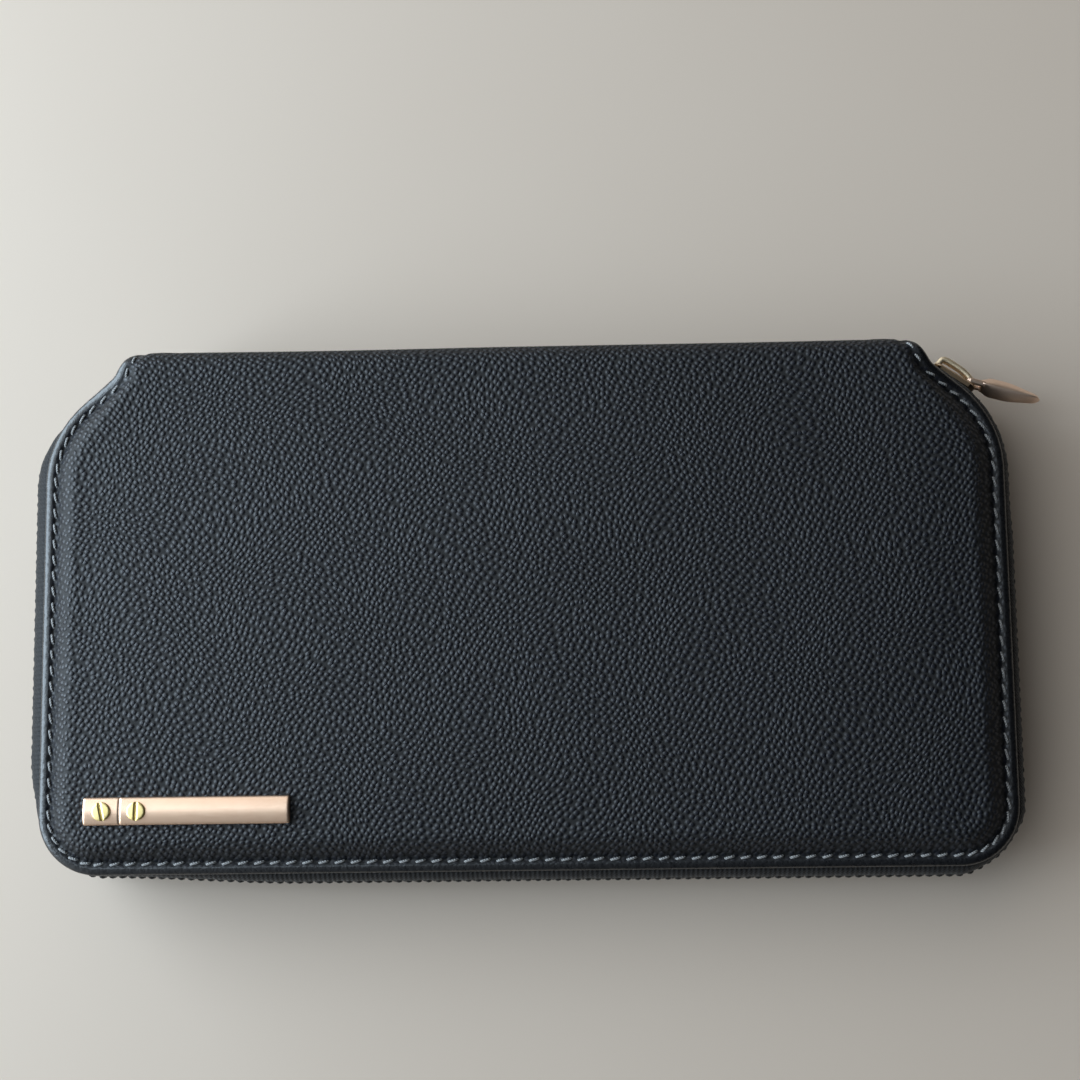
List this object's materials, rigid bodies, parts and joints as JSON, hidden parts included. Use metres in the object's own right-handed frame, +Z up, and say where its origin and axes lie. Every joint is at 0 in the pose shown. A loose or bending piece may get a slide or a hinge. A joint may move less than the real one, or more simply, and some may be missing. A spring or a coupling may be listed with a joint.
{
  "type": "zip-around wallet",
  "caption": "Long zip-around wallet in grained leather, rounded corners, small metal plate on the front, metal zip pull, card pockets and a zipped coin pocket inside.",
  "frame": {"origin": "centre of the back cover's flat outer face, on which the closed wallet lies", "axes": "+X along the long side towards the zip pull, +Y towards the spine, +Z up through the front cover"},
  "size_m": [0.207, 0.1082, 0.0257],
  "materials": {
    "grained_leather": "black pebbled grain leather, semi-gloss",
    "lining_leather": "smooth black lining leather, satin",
    "board": "bonded leather board, matt",
    "thread": "grey waxed polyester thread",
    "zip_tape": "black woven zip tape",
    "zip_teeth": "black moulded zip teeth",
    "gold_metal": "polished light gold plating",
    "plate_metal": "satin polished rose gold plating",
    "coin_zip_metal": "gold plated zip teeth"
  },
  "bodies": {
    "back": {"back_leather": "grained_leather", "back_board": "board", "back_lining": "lining_leather", "back_stitching": "thread", "back_card_pocket_1": "lining_leather", "back_card_pocket_2": "lining_leather", "back_card_pocket_3": "lining_leather", "back_card_pocket_4": "lining_leather", "zip_tape_lower": "zip_tape", "zip_teeth_lower": "zip_teeth", "zip_stops_lower": "gold_metal", "leather_fold_lower": "grained_leather", "gusset_lower_left": "lining_leather", "gusset_lower_right": "lining_leather"},
    "spine": {"spine_leather": "grained_leather", "spine_board": "board", "spine_lining": "lining_leather", "coin_wall_lower": "lining_leather", "coin_wall_upper": "lining_leather", "coin_tape_lower": "zip_tape", "coin_tape_upper": "zip_tape", "coin_teeth_lower": "coin_zip_metal", "coin_teeth_upper": "coin_zip_metal", "coin_stops": "gold_metal"},
    "front": {"front_leather": "grained_leather", "front_board": "board", "front_lining": "lining_leather", "front_stitching": "thread", "front_card_pocket_1": "lining_leather", "front_card_pocket_2": "lining_leather", "front_card_pocket_3": "lining_leather", "front_card_pocket_4": "lining_leather", "zip_tape_upper": "zip_tape", "zip_teeth_upper": "zip_teeth", "zip_stops_upper": "gold_metal", "leather_fold_upper": "grained_leather", "gusset_upper_left": "lining_leather", "gusset_upper_right": "lining_leather", "brand_plate": "plate_metal", "plate_screws": "gold_metal", "plate_backing": "gold_metal"},
    "zip_slider": {"zip_slider_body": "gold_metal", "zip_slider_bridge": "gold_metal"},
    "zip_pull": {"zip_pull": "gold_metal"},
    "coin_slider": {"coin_slider_body": "gold_metal", "coin_slider_bridge": "gold_metal"},
    "coin_pull": {"coin_pull": "gold_metal"}
  },
  "joints": [
    {"name": "spine_fold", "type": "hinge", "parent": "back", "child": "spine", "pos_m": [0, 0.049, 0.004], "axis": [-1, 0, 0], "range_deg": [0, 35], "deforming": ["leather_fold_lower", "gusset_lower_left", "gusset_lower_right"]},
    {"name": "cover_fold", "type": "hinge", "parent": "spine", "child": "front", "pos_m": [0, 0.049, 0.02], "axis": [-1, 0, 0], "range_deg": [0, 35], "deforming": ["leather_fold_upper", "gusset_upper_left", "gusset_upper_right", "zip_tape_upper", "zip_teeth_upper", "zip_stops_upper"]},
    {"name": "zip_slide", "type": "hinge", "parent": "back", "child": "zip_slider", "pos_m": [0.0755, 0.02599, 0.012], "axis": [0, 0, 1], "range_deg": [-55.5, 0]},
    {"name": "pull_swing", "type": "hinge", "parent": "zip_slider", "child": "zip_pull", "pos_m": [0.09253, 0.04547, 0.012], "axis": [0, 0, 1], "range_deg": [-10, 100]},
    {"name": "coin_zip_slide", "type": "slide", "parent": "spine", "child": "coin_slider", "axis": [-1, 0, 0], "range_m": [0, 0.14]},
    {"name": "coin_pull_swing", "type": "hinge", "parent": "coin_slider", "child": "coin_pull", "pos_m": [0.0689, -0.04925, 0.012], "axis": [0, 0, 1], "range_deg": [-3, 8]}
  ],
  "couplings": [
    {"joint": "cover_fold", "follows": "spine_fold", "ratio": 1}
  ]
}
